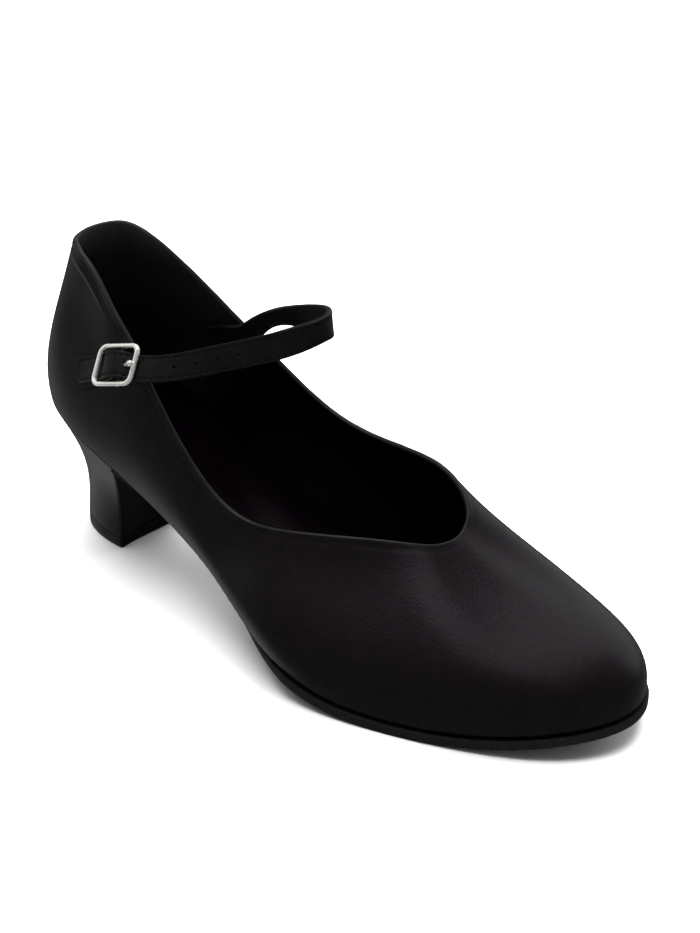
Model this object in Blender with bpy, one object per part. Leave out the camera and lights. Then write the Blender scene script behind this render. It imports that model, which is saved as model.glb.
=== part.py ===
"""Character shoe for the right foot, built as the pieces a shoemaker puts together.

Lengths in the tables are millimetres. X runs from heel to toe, Y to the medial side, Z up.
The tables measure x from the rearmost point of the upper; ORIGIN moves the middle of the
heel tip's underside to the world origin, so the shoe stands on z = 0.
"""
import math

import bmesh
import bpy
import numpy as np
from mathutils import Vector

NAME = "character_shoe"
MM = 0.001
ORIGIN = (26.4, 0.3, 0.0)

# Upper and sole
WALL = 1.8
GAP = 0.3
HALF_COLUMNS = 36
LEAN_MIX = 20.0
UPPER_ROWS = 10
RIM_ROUND = 0.45
INSOLE_THICK = 1.6
INSOLE_SIDE_GAP = 0.35

# Outsole edge, top to bottom: inset, share of the thickness
SOLE_SECTION = ((0.25, 0.0), (0.0, 0.08), (0.0, 0.86), (0.5, 1.0))

# Heel
TIP_HEIGHT = 4.6
TIP_EDGE = 0.4
SEAT_INSET = 0.4
BREAST_TOP = (46.8, 0.09)
BASE_BACK, BASE_FRONT, BASE_HALF, BASE_SKEW = 13.0, 39.8, 15.4, 0.13
BREAST_HOLLOW = 1.1
BREAST_CORNER = 1.3
HEEL_SIDE_POINTS = 11
HEEL_LEVELS = (0.0, 0.1, 0.22, 0.36, 0.52, 0.68, 0.84, 1.0)

# Strap, tab and buckle
STRAP_THICK = 1.8
STRAP_STEPS = 64
TAB_WIDTHS, TAB_THICK = ((0.0, 10.0), (0.35, 10.0), (0.6, 8.6), (1.0, 7.6)), 1.0
BAND_EDGE = 0.35
BUCKLE_LENGTH, BUCKLE_HEIGHT = 18.2, 14.0
BAR, BAR_CORNER = 1.5, 2.6
PIVOT_RADIUS, PIVOT_DROP = 0.6, 1.9
PRONG_SLOT = 3.0
PRONG_EYE, PRONG_EYE_WIDTH = 1.6, 1.9
# Pin: share of its length from the eye, radius
PRONG_PROFILE = (
    (0.0, 0.55), (0.3, 0.6), (0.62, 0.62), (0.82, 0.7), (0.93, 0.8), (1.0, 0.8), (1.06, 0.55), (1.09, 0.2),
)
HOLE_RADIUS = 1.2
SPARE_HOLE_RADIUS = 0.75
SPARE_HOLES = (-5.2, 24.0, 32.0, 40.0, 48.0)

# Height of the line where upper and sole meet: x, z
SOLE_LINE = (
    (-2, 51.2), (25, 47.2), (50, 39.2), (75, 28.6), (100, 19.6), (125, 11.8),
    (148, 5.5), (165, 3.75), (180, 3.75), (200, 5.5), (222, 9.4), (238, 12.2),
)
# Sole edge beyond the upper's lower outline, tucked in at the waist: x, out
SOLE_EDGE = ((45, -0.8), (62, -2.6), (100, -2.8), (116, -1.0), (134, 1.2), (240, 1.2))
# Outsole thickness: x, thickness
SOLE_THICKNESS = ((40, 2.4), (90, 2.6), (125, 3.6), (150, 3.7), (240, 3.7))

# Upper, one row a station from the heel back to the toe tip. foot is the lower edge, top the
# collar or throat edge; lat and med are y on the lateral and medial side. low and high give the
# profile between them: how far each end of its curve reaches, and its lean in degrees.
UPPER_COLUMNS = (
    "foot_x", "foot_lat", "foot_med", "top_x", "top_lat", "top_med", "top_z", "med_rise",
    "low_reach", "low_lean", "high_reach", "high_lean",
)
UPPER_STATIONS = {
    "heel_back":   (1.0, 1.5, 1.5, 12.6, 0.3, 0.3, 109.3, 0.0, 17.8, 13.0, 27.8, 11.0),
    "heel_corner": (5.8, -12.9, 12.6, 15.1, -9.2, 9.3, 109.1, 0.0, 16.7, 13.8, 27.0, 13.5),
    "heel_side":   (20.0, -22.9, 22.4, 25.8, -13.4, 14.1, 108.2, -0.5, 16.1, 12.7, 28.0, 9.0),
    "heel_front":  (50.0, -26.9, 25.3, 58.3, -24.7, 21.4, 82.5, 2.0, 14.0, 19.0, 20.0, 15.5),
    "waist":       (91.7, -31.7, 18.4, 93.9, -30.3, 27.7, 50.3, 8.2, 14.0, 27.0, 18.0, 9.5),
    "instep":      (130.0, -44.9, 27.0, 121.6, -28.7, 26.3, 48.4, 7.7, 16.1, 23.0, 17.8, 26.6),
    "ball":        (165.0, -41.5, 33.8, 145.6, -19.2, 23.1, 50.6, 6.3, 19.5, 11.1, 21.7, 31.5),
    "toe_side":    (200.0, -29.6, 31.1, 160.2, -9.4, 15.4, 49.8, 1.8, 20.4, 11.6, 37.1, 55.5),
    "toe_corner":  (225.4, -12.1, 21.2, 164.2, -3.0, 7.7, 48.8, 0.0, 23.8, 8.0, 43.2, 57.5),
    "toe_tip":     (232.7, 3.7, 3.7, 165.1, 2.0, 2.0, 48.5, 0.0, 23.5, 8.1, 45.9, 60.5),
}

# Heel block taper: share of the drop to the tip, share of the way in to the base outline
HEEL_TAPER = (
    (0.0, 0.0), (0.14, 0.30), (0.30, 0.60), (0.48, 0.86), (0.66, 1.0), (0.84, 1.03), (1.0, 1.0),
)

# Buckle plane: middle of the frame, direction along the strap, direction across it
BUCKLE_AT = (51.2, -29.3, 83.8)
BUCKLE_ALONG = (0.940, 0.022, 0.339)
BUCKLE_ACROSS = (-0.288, 0.584, 0.759)

# Strap inside the buckle: distance along it, shift across, height over the buckle plane
STRAP_IN_BUCKLE = (
    (-8.4, -0.2, -2.0), (-5.6, -0.1, -0.9), (-2.6, 0.0, 0.95), (0.0, 0.0, 1.4),
    (2.6, -0.1, 0.9), (5.6, -0.4, -0.95), (8.4, -0.7, -2.0), (11.0, -0.9, -2.3),
)

# Strap width: share of its length from the tip, width
STRAP_WIDTHS = ((0.0, 8.2), (0.05, 8.8), (0.62, 8.8), (0.74, 7.8), (1.0, 7.6))

# Strap loop over the instep: centre line x, y, z and the direction across the strap
STRAP_LOOP = (
    (89.6, -20.2, 96.2, -0.10, 0.30, 0.95),
    (109.6, -12.2, 105.4, -0.03, 0.15, 0.98),
    (116.2, -3.4, 108.8, -0.02, -0.08, 0.99),
    (110.0, 5.8, 106.2, -0.10, -0.42, 0.90),
    (93.2, 14.2, 98.6, -0.40, -0.70, 0.60),
    (78.0, 18.2, 90.2, -0.45, -0.75, 0.48),
)
# Places on the upper's wall: share of the way round from the heel back over the lateral side,
# share of the height, distance of the band's middle line from the wall (minus is inside)
STRAP_TIP = (0.0805, 0.545, 2.6)
STRAP_END = ((0.8745, 0.985, -1.45), (0.887, 0.835, -1.35), (0.897, 0.69, -1.35))
TAB_ON_WALL = ((0.078, 0.485, 0.85), (0.087, 0.60, 0.85))


def clear_scene():
    """Starts from an empty file."""
    for obj in list(bpy.data.objects):
        bpy.data.objects.remove(obj, do_unlink=True)
    for old in list(bpy.data.collections):
        bpy.data.collections.remove(old)


def new_collection(name):
    made = bpy.data.collections.new(name)
    bpy.context.scene.collection.children.link(made)
    return made


def unit(v):
    """Unit vector, or the unit vectors of a table of them."""
    v = np.asarray(v, float)
    return v / np.linalg.norm(v, axis=-1, keepdims=True)


def running_length(points):
    """Distance along a row of points, from its first."""
    gaps = np.linalg.norm(np.diff(points, axis=0), axis=1)
    return np.concatenate([[0], np.cumsum(gaps)])


def cubic(knots, values, at):
    """Natural cubic curve through a table of values, read at the given places."""
    knots = np.asarray(knots, float)
    values = np.asarray(values, float)
    at = np.asarray(at, float)
    count = len(knots)
    step = np.diff(knots)
    flat = values.reshape(count, -1)
    matrix = np.eye(count)
    right = np.zeros_like(flat)
    for i in range(1, count - 1):
        matrix[i, i - 1:i + 2] = (step[i - 1], 2 * (step[i - 1] + step[i]), step[i])
        right[i] = 6 * ((flat[i + 1] - flat[i]) / step[i] - (flat[i] - flat[i - 1]) / step[i - 1])
    bend = np.linalg.solve(matrix, right)
    i = np.clip(np.searchsorted(knots, at) - 1, 0, count - 2)
    span = step[i][..., None]
    low = (knots[i + 1] - at)[..., None] / span
    high = 1 - low
    out = low * flat[i] + high * flat[i + 1]
    out = out + ((low ** 3 - low) * bend[i] + (high ** 3 - high) * bend[i + 1]) * span ** 2 / 6
    return out.reshape(at.shape + values.shape[1:])


def closed_cubic(knots, values, period, at):
    """The same for a closed loop: the table is repeated a little beyond each end."""
    knots = np.asarray(knots, float)
    values = np.asarray(values, float)
    pad = 5
    knots = np.concatenate([knots[-pad:] - period, knots, knots[:pad] + period])
    values = np.concatenate([values[-pad:], values, values[:pad]])
    return cubic(knots, values, at)


def sole_height(x):
    """Height of the line where upper and sole meet."""
    xs, zs = zip(*SOLE_LINE)
    return cubic(xs, zs, x)


def sole_thickness(x):
    xs, thick = zip(*SOLE_THICKNESS)
    return np.interp(x, xs, thick)


def station_rows():
    """The upper's table as one closed loop: heel back, lateral side, toe tip, medial side."""
    rows = []
    named = [dict(zip(UPPER_COLUMNS, row)) for row in UPPER_STATIONS.values()]
    for s in named:
        rows.append([s["foot_x"], s["foot_lat"], s["top_x"], s["top_lat"], s["top_z"]]
                    + [s[k] for k in UPPER_COLUMNS[8:]])
    for s in named[-2:0:-1]:
        rows.append([s["foot_x"], s["foot_med"], s["top_x"], s["top_med"], s["top_z"] + s["med_rise"]]
                    + [s[k] for k in UPPER_COLUMNS[8:]])
    return np.array(rows), len(named) - 1


def columns_at(share):
    """Table rows blended round the loop. share runs 0 heel back, 0.5 toe tip, 1 heel back."""
    rows, toe = station_rows()
    foot = rows[:, :2]
    gaps = np.linalg.norm(np.roll(foot, -1, 0) - foot, axis=1)
    knots = np.concatenate([[0], np.cumsum(gaps)])
    share = np.asarray(share, float)
    along = np.where(share < 0.5, share * 2 * knots[toe],
                     knots[toe] + (share - 0.5) * 2 * (knots[-1] - knots[toe]))
    return closed_cubic(knots[:-1], rows, knots[-1], along)


def foot_normal(share):
    """Outward normal of the upper's lower outline, in plan."""
    share = np.asarray(share, float)
    d = 0.006
    tangent = columns_at(np.mod(share + d, 1))[..., :2] - columns_at(np.mod(share - d, 1))[..., :2]
    tangent = unit(tangent)
    return np.stack([tangent[..., 1], -tangent[..., 0]], -1)


def outer_points(share, height):
    """Points of the upper's outer surface: share of the way round, share of the height."""
    share, height = np.broadcast_arrays(np.asarray(share, float), np.asarray(height, float))
    fx, fy, tx, ty, tz, low, low_lean, high, high_lean = np.moveaxis(columns_at(share), -1, 0)
    fz = sole_height(fx) + GAP / 2
    foot, top = np.stack([fx, fy, fz], -1), np.stack([tx, ty, tz], -1)
    plan = unit((foot - top)[..., :2] + foot_normal(share) * LEAN_MIX)
    out = np.concatenate([plan, np.zeros_like(plan[..., :1])], -1)
    up = np.array([0, 0, 1.0])
    low_lean, high_lean = np.radians(low_lean)[..., None], np.radians(high_lean)[..., None]
    low_point = foot + low[..., None] * (out * np.sin(low_lean) + up * np.cos(low_lean))
    high_point = top + high[..., None] * (out * np.sin(high_lean) - up * np.cos(high_lean))
    rise = height[..., None]
    keep = 1 - rise
    return (keep ** 3 * foot + 3 * rise * keep ** 2 * low_point
            + 3 * rise ** 2 * keep * high_point + rise ** 3 * top)


def outward(share, height):
    """Unit normal of the outer surface."""
    d = 0.004
    round_way = outer_points(np.mod(share + d, 1), height) - outer_points(np.mod(share - d, 1), height)
    up_way = outer_points(share, height + d) - outer_points(share, height - d)
    return unit(np.cross(round_way, up_way))


def wall_point(share, height, off):
    """A point off the wall: off > 0 over the outer face, off < 0 behind the inner face."""
    depth = off if off > 0 else off - WALL
    share, height = np.array(share), np.array(height)
    return outer_points(share, height) + outward(share, height) * depth


def foot_line(share, out):
    """The upper's lower outline in plan, moved outwards by out."""
    return columns_at(share)[..., :2] + foot_normal(share) * np.asarray(out, float)[..., None]


def mesh_object(name, points, faces, home):
    """One named object from points in table millimetres."""
    mesh = bpy.data.meshes.new(name)
    placed = (np.asarray(points, float).reshape(-1, 3) - ORIGIN) * MM
    mesh.from_pydata(placed.tolist(), [], faces)
    shape = bmesh.new()
    shape.from_mesh(mesh)
    bmesh.ops.recalc_face_normals(shape, faces=shape.faces)
    shape.to_mesh(mesh)
    shape.free()
    obj = bpy.data.objects.new(name, mesh)
    home.objects.link(obj)
    return obj


def ring_faces(rings, count, closed_stack):
    """Quads between rings of the same point count."""
    faces = []
    for j in range(rings if closed_stack else rings - 1):
        k = (j + 1) % rings
        for i in range(count):
            n = (i + 1) % count
            faces.append((j * count + i, j * count + n, k * count + n, k * count + i))
    return faces


def ladder_faces(start, count, first_pair):
    """Closes a ring whose points i and count - i (first_pair 0) or count - 1 - i lie opposite."""
    faces = []
    shift = 0 if first_pair else -1
    partner = [(count + shift - i) % count for i in range(count)]
    last = (count + 1 + shift) // 2
    for i in range(last):
        quad = (i, i + 1, partner[i + 1] if i + 1 < count else partner[i], partner[i])
        seen = []
        for q in quad:
            if q not in seen:
                seen.append(q)
        if len(seen) > 2:
            faces.append(tuple(start + q for q in seen))
    return faces


def boolean(target, cutter, kind):
    mod = target.modifiers.new(kind.lower(), "BOOLEAN")
    mod.operation = kind
    mod.solver = "EXACT"
    mod.object = cutter


def material(name, colour, roughness, metallic):
    made = bpy.data.materials.new(name)
    made.use_nodes = True
    shader = made.node_tree.nodes["Principled BSDF"]
    shader.inputs["Base Color"].default_value = (*colour, 1.0)
    shader.inputs["Roughness"].default_value = roughness
    shader.inputs["Metallic"].default_value = metallic
    return made


def build_upper(home):
    """Hollow shell, open at the collar and throat and underneath."""
    share = np.arange(2 * HALF_COLUMNS) / (2 * HALF_COLUMNS)
    heights = np.linspace(0, 1, UPPER_ROWS) ** 0.9
    outer = [outer_points(share, np.full_like(share, h)) for h in heights]
    inner = []
    for h, ring in zip(heights, outer):
        normal = outward(share, np.full_like(share, h))
        if h == 0:
            normal[:, 2] = 0
            normal = unit(normal)
        moved = ring - normal * WALL
        if h == 0:
            moved[:, 2] = sole_height(moved[:, 0]) + GAP / 2
        inner.append(moved)
    rim = (outer[-1] + inner[-1]) / 2
    leg = unit(outer[-1] - outer[-2])
    rings = outer + [rim + leg * RIM_ROUND] + inner[::-1]
    count = len(share)
    return mesh_object("upper", np.concatenate(rings), ring_faces(len(rings), count, True), home)


def build_insole(home):
    """Thin floor inside the upper, from the heel seat to the toe."""
    share = np.arange(2 * HALF_COLUMNS) / (2 * HALF_COLUMNS)
    plan = foot_line(share, np.full_like(share, -(WALL + INSOLE_SIDE_GAP)))
    low = np.column_stack([plan, sole_height(plan[:, 0]) + GAP / 2])
    top = low + (0, 0, INSOLE_THICK)
    count = len(share)
    faces = ring_faces(2, count, False) + ladder_faces(0, count, True) + ladder_faces(count, count, True)
    return mesh_object("insole", np.concatenate([low, top]), faces, home)


def share_at_breast(side):
    """Where the foot line crosses the heel breast, as a share of the loop."""
    tries = np.linspace(0.02, 0.25, 6000)
    if side > 0:
        tries = 1 - tries
    plan = columns_at(tries)[:, :2]
    off = plan[:, 0] - BREAST_TOP[0] - BREAST_TOP[1] * plan[:, 1]
    return float(tries[np.argmax(off > 0)])


def build_outsole(home):
    """From the heel breast to the toe; tucked in at the waist, a small edge round the forefoot."""
    near, far = share_at_breast(-1), share_at_breast(1)
    side = HALF_COLUMNS - 5
    share = np.concatenate([np.linspace(near, 0.5, side), np.linspace(0.5, far, side)[1:]])
    x = columns_at(share)[:, 0]
    out = np.interp(x, *zip(*SOLE_EDGE))

    def ring(out_by, drop):
        plan = foot_line(share, out_by)
        for end in (0, -1):
            plan[end, 0] = BREAST_TOP[0] + BREAST_TOP[1] * plan[end, 1] + GAP
        top = sole_height(plan[:, 0]) - GAP / 2
        z = np.maximum(top - drop * sole_thickness(plan[:, 0]), 0.0)
        return np.column_stack([plan, z])

    rings = [ring(out - inset, drop) for inset, drop in SOLE_SECTION]
    count = len(share)
    faces = ring_faces(len(rings), count, False)
    for start_at in (0, (len(rings) - 1) * count):
        faces += ladder_faces(start_at, count, False)
    return mesh_object("outsole", np.concatenate(rings), faces, home)


def soften(ring, corners, reach):
    """Replaces the corner points of a closed ring by two points each."""
    out = []
    count = len(ring)
    for i, p in enumerate(ring):
        if i in corners:
            for other in (ring[(i - 1) % count], ring[(i + 1) % count]):
                way = other - p
                out.append(p + way / np.linalg.norm(way) * reach)
        else:
            out.append(p)
    return np.array(out)


def heel_outlines():
    """Seat outline and base outline of the heel, point for point."""
    near, far = share_at_breast(-1), share_at_breast(1)
    n = HEEL_SIDE_POINTS
    share = np.concatenate([np.linspace(near, 0, n), 1 - np.linspace(0, 1 - far, n)[1:]])
    seat = foot_line(np.mod(share, 1), np.full(len(share), -SEAT_INSET))
    turn = np.linspace(0, math.pi, len(share))
    y = -BASE_HALF * np.cos(turn)
    x = BASE_FRONT - (BASE_FRONT - BASE_BACK) * np.sin(turn) + BASE_SKEW * y
    base = np.column_stack([x, y + ORIGIN[1]])
    across = np.array([0.72, 0.28])
    rings = []
    for plan, bow in ((seat, 0.0), (base, BREAST_HOLLOW)):
        bridge = [plan[0] * (1 - a) + plan[-1] * a - np.array([bow, 0]) for a in across]
        full = np.vstack([plan, bridge])
        rings.append(soften(full, (0, len(plan) - 1), BREAST_CORNER))
    return rings


def build_heel(home):
    """Covered block: follows the seat, draws in towards the base, hollow breast."""
    seat, base = heel_outlines()
    seat_z = sole_height(seat[:, 0]) - GAP / 2
    shares, taper = zip(*HEEL_TAPER)
    rings = []
    for v in HEEL_LEVELS:
        way = cubic(shares, taper, np.array(v))
        plan = seat + (base - seat) * way
        z = seat_z * (1 - v) + (TIP_HEIGHT + GAP) * v
        rings.append(np.column_stack([plan, z]))
    count = len(seat)
    faces = ring_faces(len(rings), count, False)
    faces += heel_cap(0, count) + heel_cap((len(rings) - 1) * count, count)
    return mesh_object("heel", np.concatenate(rings), faces, home)


def heel_cap(start, count):
    """Closes a heel ring: rungs between its sides, and one face behind the breast."""
    last = count - 4
    cap = [(1 + i, 2 + i, last - 1 - i, last - i) for i in range((last - 1) // 2)]
    cap.append((0, 1, last, last + 1, last + 2, last + 3))
    return [tuple(start + p for p in dict.fromkeys(face)) for face in cap]


def build_heel_tip(home):
    """Flat wearing piece."""
    _, base = heel_outlines()
    middle = base.mean(axis=0)
    inset = middle + (base - middle) * (1 - TIP_EDGE / BASE_HALF)
    rings = [
        np.column_stack([base, np.full(len(base), TIP_HEIGHT)]),
        np.column_stack([base, np.full(len(base), TIP_EDGE)]),
        np.column_stack([inset, np.zeros(len(base))]),
    ]
    count = len(base)
    faces = ring_faces(3, count, False) + heel_cap(0, count) + heel_cap(2 * count, count)
    return mesh_object("heel_tip", np.concatenate(rings), faces, home)


def buckle_axes():
    along = unit(BUCKLE_ALONG)
    across = unit(np.asarray(BUCKLE_ACROSS) - along * np.dot(BUCKLE_ACROSS, along))
    return along, across, np.cross(along, across)


def buckle_point(s, w, n):
    """From buckle sizes (along, across, off the plane) to table coordinates."""
    along, across, off = buckle_axes()
    return np.asarray(BUCKLE_AT) + along * s + across * w + off * n


def band(name, centre, across, width, thick, steps, home):
    """A flat strip swept along a centre line, its edges slightly rounded."""
    knots = running_length(centre)
    at = np.interp(np.linspace(0, len(knots) - 1, steps), np.arange(len(knots)), knots)
    line = cubic(knots, centre, at)
    tangent = unit(np.gradient(line, at, axis=0))
    side = cubic(knots, across, at)
    side = unit(side - tangent * np.sum(side * tangent, axis=1, keepdims=True))
    face = np.cross(tangent, side)
    half = np.interp(at / knots[-1], *zip(*width)) / 2
    b = thick / 2
    c = min(BAND_EDGE, b * 0.6)
    rings = []
    for i in range(steps):
        a = half[i]
        section = np.array((
            (c - a, -b), (a - c, -b), (a, c - b), (a, b - c),
            (a - c, b), (c - a, b), (-a, b - c), (-a, c - b),
        ))
        rings.append(line[i] + np.outer(section[:, 0], side[i]) + np.outer(section[:, 1], face[i]))
    count = len(rings[0])
    faces = ring_faces(steps, count, False)
    faces += [tuple(range(count)), tuple(range((steps - 1) * count, steps * count))]
    return mesh_object(name, np.concatenate(rings), faces, home)


def wall_across(share, height, along):
    """Direction on the wall square to the given one, pointing up."""
    normal = outward(np.array(share), np.array(height))
    side = unit(np.cross(normal, along))
    return side if side[2] > 0 else -side


def strap_line():
    """Centre line and across directions of the strap, tip first."""
    along, across, _ = buckle_axes()
    centre = [wall_point(*STRAP_TIP)]
    turn = [wall_across(STRAP_TIP[0], STRAP_TIP[1], along)]
    for s, w, n in STRAP_IN_BUCKLE:
        centre.append(buckle_point(s, w, n))
        turn.append(across)
    for x, y, z, *w in STRAP_LOOP:
        centre.append(np.array([x, y, z]))
        turn.append(unit(w))
    inside = [wall_point(*place) for place in STRAP_END]
    for place, p in zip(STRAP_END, inside):
        centre.append(p)
        turn.append(wall_across(place[0], place[1], inside[-1] - inside[0]))
    return np.array(centre), np.array(turn)


def cylinder(name, start, end, radius, sides, home):
    """Round bar between two points in table millimetres."""
    start, end = Vector((start - ORIGIN) * MM), Vector((end - ORIGIN) * MM)
    shape = bmesh.new()
    bmesh.ops.create_cone(shape, cap_ends=True, segments=sides, radius1=radius * MM,
                          radius2=radius * MM, depth=(end - start).length)
    mesh = bpy.data.meshes.new(name)
    shape.to_mesh(mesh)
    shape.free()
    obj = bpy.data.objects.new(name, mesh)
    obj.rotation_mode = "QUATERNION"
    obj.rotation_quaternion = (end - start).to_track_quat("Z", "Y")
    obj.location = (start + end) / 2
    home.objects.link(obj)
    return obj


def build_strap(home, cutters):
    """Instep strap with the prong's hole and the spare holes."""
    centre, turn = strap_line()
    strap = band("strap", centre, turn, STRAP_WIDTHS, STRAP_THICK, STRAP_STEPS, home)
    low, high = prong_axis()
    way = unit(high - low)
    cuts = [cylinder("strap_prong_hole", low + way * 1.5, high - way * 0.2, HOLE_RADIUS, 12, cutters)]
    knots = running_length(centre)
    middle = knots[1 + [row[0] for row in STRAP_IN_BUCKLE].index(0.0)]
    for k, s in enumerate(SPARE_HOLES):
        at = cubic(knots, centre, np.array([middle + s - 0.2, middle + s, middle + s + 0.2]))
        side = cubic(knots, turn, np.array(middle + s))
        through = unit(np.cross(at[2] - at[0], side)) * 2 * STRAP_THICK
        cuts.append(cylinder(f"strap_hole_{k}", at[1] - through, at[1] + through,
                             SPARE_HOLE_RADIUS, 10, cutters))
    for cut in cuts:
        boolean(strap, cut, "DIFFERENCE")
    return strap


def build_tab(home, cutters):
    """Short tab on the quarter, folded round the buckle's middle bar."""
    along, across, _ = buckle_axes()
    centre, turn = [], []
    for share, height, off in TAB_ON_WALL:
        centre.append(wall_point(share, height, off))
        turn.append(wall_across(share, height, along))
    bend = PIVOT_RADIUS + GAP + TAB_THICK / 2
    for deg in (135, 100, 60, 20, -20, -60, -95):
        a = math.radians(deg)
        centre.append(buckle_point(bend * math.cos(a), 0, bend * math.sin(a) - PIVOT_DROP))
        turn.append(across)
    tab = band("buckle_tab", np.array(centre), np.array(turn), TAB_WIDTHS, TAB_THICK, 26, home)
    slot = cylinder("tab_slot", buckle_point(0.6, -PRONG_SLOT / 2, -PIVOT_DROP),
                    buckle_point(0.6, PRONG_SLOT / 2, -PIVOT_DROP), 2.6, 24, cutters)
    boolean(tab, slot, "DIFFERENCE")
    return tab


def swept_loop(name, path, outs, section, home):
    """Bar of one section swept round a closed path in the buckle plane."""
    off = buckle_axes()[2]
    points = [p + o * a + off * b for p, o in zip(path, outs) for a, b in section]
    return mesh_object(name, np.array(points), ring_faces(len(path), len(section), True), home)


def build_buckle_frame(home, cutters):
    """Rounded rectangular frame; the middle bar hangs a little below its plane."""
    along, across, _ = buckle_axes()
    half_l, half_h = (BUCKLE_LENGTH - BAR) / 2, (BUCKLE_HEIGHT - BAR) / 2
    path, outs = [], []
    for qs, qw, first in ((1, 1, 0), (-1, 1, 90), (-1, -1, 180), (1, -1, 270)):
        for step in range(5):
            a = math.radians(first + step * 22.5)
            out = along * math.cos(a) + across * math.sin(a)
            middle = buckle_point(qs * (half_l - BAR_CORNER), qw * (half_h - BAR_CORNER), 0)
            path.append(middle + out * BAR_CORNER)
            outs.append(out)
    r, c = BAR / 2, BAR / 2 - 0.4
    section = ((-r, -c), (-c, -r), (c, -r), (r, -c), (r, c), (c, r), (-c, r), (-r, c))
    frame = swept_loop("buckle_frame", path, outs, section, home)
    drop = PIVOT_DROP
    bar = cylinder("frame_pivot", buckle_point(0, -half_h, -drop), buckle_point(0, half_h, -drop),
                   PIVOT_RADIUS, 12, cutters)
    posts = [cylinder(f"frame_post_{k}", buckle_point(0, w, -drop - PIVOT_RADIUS), buckle_point(0, w, 0),
                      PIVOT_RADIUS + 0.05, 12, cutters) for k, w in enumerate((-half_h, half_h))]
    for part in (bar, *posts):
        boolean(frame, part, "UNION")
    return frame


def prong_axis():
    """Middle line of the pin: from the eye up to the front bar."""
    front = (BUCKLE_LENGTH - BAR) / 2
    return buckle_point(1.2, 0, -PIVOT_DROP + 0.4), buckle_point(front - 0.1, 0, BAR / 2 + GAP + 0.8)


def build_prong(home, cutters):
    """Eye round the middle bar and a pin with a rounded end."""
    _, across, off = buckle_axes()
    low, high = prong_axis()
    way = unit(high - low)
    lift = np.cross(way, across)
    length = np.linalg.norm(high - low)
    turn = np.linspace(0, 2 * math.pi, 12, endpoint=False)
    circle = np.outer(np.cos(turn), across) + np.outer(np.sin(turn), lift)
    rings = [low + way * length * s + circle * r for s, r in PRONG_PROFILE]
    count = len(turn)
    faces = ring_faces(len(rings), count, False)
    faces += [tuple(range(count)), tuple(range((len(rings) - 1) * count, len(rings) * count))]
    prong = mesh_object("buckle_prong", np.concatenate(rings), faces, home)
    half = PRONG_EYE_WIDTH / 2
    eye = cylinder("prong_eye", buckle_point(0, -half, -PIVOT_DROP), buckle_point(0, half, -PIVOT_DROP),
                   PRONG_EYE, 20, cutters)
    bore = cylinder("prong_bore", buckle_point(0, -half - 1, -PIVOT_DROP),
                    buckle_point(0, half + 1, -PIVOT_DROP), PIVOT_RADIUS + GAP, 16, cutters)
    boolean(prong, eye, "UNION")
    boolean(prong, bore, "DIFFERENCE")
    return prong


def main():
    clear_scene()
    parts = new_collection(NAME)
    cutters = new_collection("cutters")
    black_leather = (0.012, 0.011, 0.012)
    looks = (
        (build_upper(parts), "upper_leather", black_leather, 0.34, 0.0),
        (build_insole(parts), "insole_lining", (0.010, 0.009, 0.011), 0.6, 0.0),
        (build_outsole(parts), "sole_edge", (0.010, 0.010, 0.010), 0.6, 0.0),
        (build_heel(parts), "heel_cover", black_leather, 0.3, 0.0),
        (build_heel_tip(parts), "heel_tip_rubber", (0.012, 0.012, 0.012), 0.55, 0.0),
        (build_strap(parts, cutters), "strap_leather", black_leather, 0.4, 0.0),
        (build_tab(parts, cutters), "tab_leather", black_leather, 0.4, 0.0),
        (build_buckle_frame(parts, cutters), "buckle_metal", (0.80, 0.79, 0.77), 0.14, 1.0),
        (build_prong(parts, cutters), "prong_metal", (0.80, 0.79, 0.77), 0.14, 1.0),
    )
    for obj, slot, colour, roughness, metallic in looks:
        obj.data.materials.append(material(slot, colour, roughness, metallic))
    for obj in cutters.objects:
        obj.hide_render = True
        obj.display_type = "WIRE"


main()
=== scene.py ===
"""Right character shoe: the finished look over the solids.

Lengths in the tables are millimetres, x from the rearmost point of the upper, y to the medial
side, z up, as in the solids' own tables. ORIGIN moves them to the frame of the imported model.
"""

import math

import bmesh
import bpy
import numpy as np
from mathutils import Matrix, Vector


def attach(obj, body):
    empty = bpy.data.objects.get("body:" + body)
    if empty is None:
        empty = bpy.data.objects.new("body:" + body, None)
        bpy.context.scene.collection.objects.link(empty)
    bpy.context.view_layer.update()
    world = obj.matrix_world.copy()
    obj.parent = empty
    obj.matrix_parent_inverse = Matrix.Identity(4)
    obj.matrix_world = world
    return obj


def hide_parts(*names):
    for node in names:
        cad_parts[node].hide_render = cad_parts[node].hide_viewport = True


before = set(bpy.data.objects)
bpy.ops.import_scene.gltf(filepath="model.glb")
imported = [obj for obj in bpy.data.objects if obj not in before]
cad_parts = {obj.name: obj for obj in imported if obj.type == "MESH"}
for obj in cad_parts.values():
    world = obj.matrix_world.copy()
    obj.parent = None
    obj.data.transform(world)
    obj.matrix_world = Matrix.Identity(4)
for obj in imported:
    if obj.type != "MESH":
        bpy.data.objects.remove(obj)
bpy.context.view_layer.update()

MM = 0.001
ORIGIN = (26.4, 0.3, 0.0)

# Upper: wall, gap to its neighbours, rounded topline, feathered lasted edge, columns round the foot
WALL, GAP = 1.8, 0.3
RIM_ROUND, FEATHER = 0.62, 0.9
COLUMNS_ROUND = 400
# Weight of the foot line's normal against the way from topline to foot, in a section's direction
LEAN_MIX = 20.0
# Shares of the height below and above which the rows lie closer
LOW_ROWS, HIGH_ROWS = 0.03, 0.84
# Height over which the wall turns level at the foot, and the length of the foot line all round
FOOT_EASE, FOOT_LENGTH = 3.0, 480.0

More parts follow.
